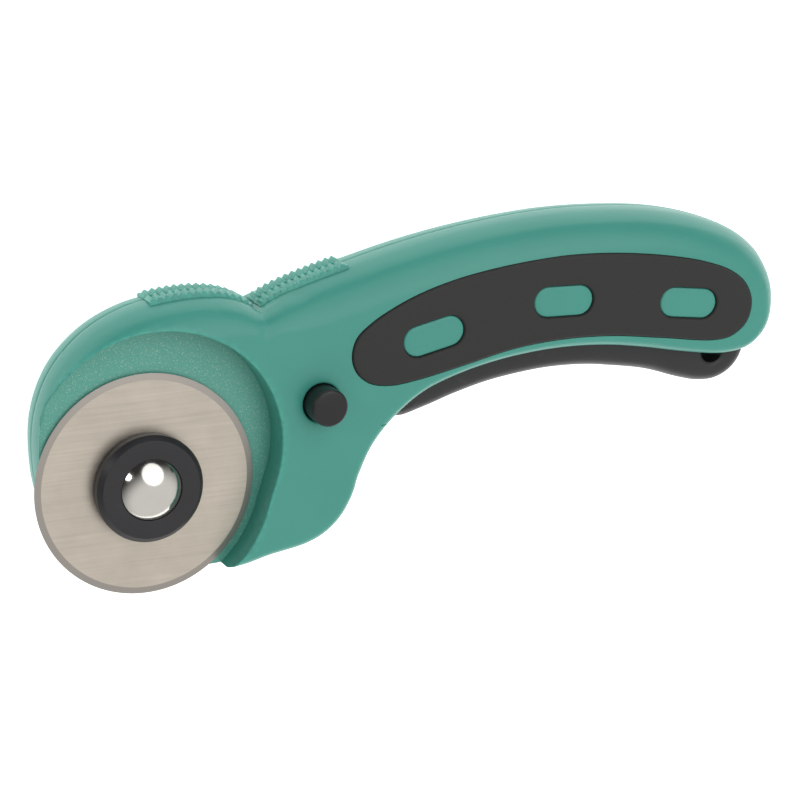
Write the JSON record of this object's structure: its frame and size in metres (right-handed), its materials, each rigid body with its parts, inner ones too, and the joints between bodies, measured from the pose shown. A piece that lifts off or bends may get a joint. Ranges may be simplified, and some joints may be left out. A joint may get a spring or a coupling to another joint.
{
  "type": "rotary cutter",
  "caption": "Round-blade fabric cutter with a curved handle, rubber grip inlays, a squeeze trigger that swings the blade out, and a push-through lock button.",
  "frame": {"origin": "middle of the cutter's length and width, on the surface it lies on", "axes": "+X along the handle from the blade to the tail, +Y towards the back of the hand, +Z out of the blade side"},
  "size_m": [0.1638, 0.0688, 0.026],
  "materials": {
    "teal_plastic": "fine satin moulded",
    "dark_plastic": "smooth satin",
    "grip_rubber": "soft matte",
    "steel": "plain bright",
    "blade_steel": "straight ground grain, ground bevel",
    "bolt_chrome": "polished"
  },
  "bodies": {
    "casing": {"front_shell": "teal_plastic", "rear_shell": "teal_plastic", "front_grip_inlay": "grip_rubber", "rear_grip_inlay": "grip_rubber", "arm_pivot_pin": "steel", "trigger_pivot_pin": "steel", "lock_detent_ring": "steel", "trigger_return_spring": "steel", "head_screw": "steel", "neck_screw": "steel", "heel_screw": "steel", "tail_screw": "steel"},
    "trigger": {"trigger_lever": "dark_plastic"},
    "arm": {"blade_arm": "steel", "arm_link_pin": "steel", "blade_collar": "dark_plastic", "blade_washer": "dark_plastic", "blade_bolt": "bolt_chrome", "rear_washer": "steel", "spring_washer": "steel", "blade_nut": "dark_plastic"},
    "blade": {"rotary_blade": "blade_steel"},
    "lock": {"lock_button": "dark_plastic"}
  },
  "joints": [
    {"name": "trigger_swing", "type": "hinge", "parent": "casing", "child": "trigger", "pos_m": [-0.01439, 0.00212, 0.0109], "axis": [0, 0, 1], "range_deg": [-6, 0], "stiffness_Nm_per_rad": 0.3, "springref_deg": -34.38, "deforming": ["trigger_return_spring"]},
    {"name": "arm_swing", "type": "hinge", "parent": "casing", "child": "arm", "pos_m": [-0.03301, -0.01658, 0.0109], "axis": [0, 0, 1], "range_deg": [-16.5, 0]},
    {"name": "blade_spin", "type": "hinge", "parent": "arm", "child": "blade", "pos_m": [-0.0594, -0.01188, 0.0157], "axis": [0, 0, 1], "continuous": true},
    {"name": "lock_slide", "type": "slide", "parent": "casing", "child": "lock", "axis": [0, 0, -1], "range_m": [0, 0.0046]}
  ],
  "couplings": [
    {"joint": "arm_swing", "follows": "trigger_swing", "ratio": 2.75}
  ]
}
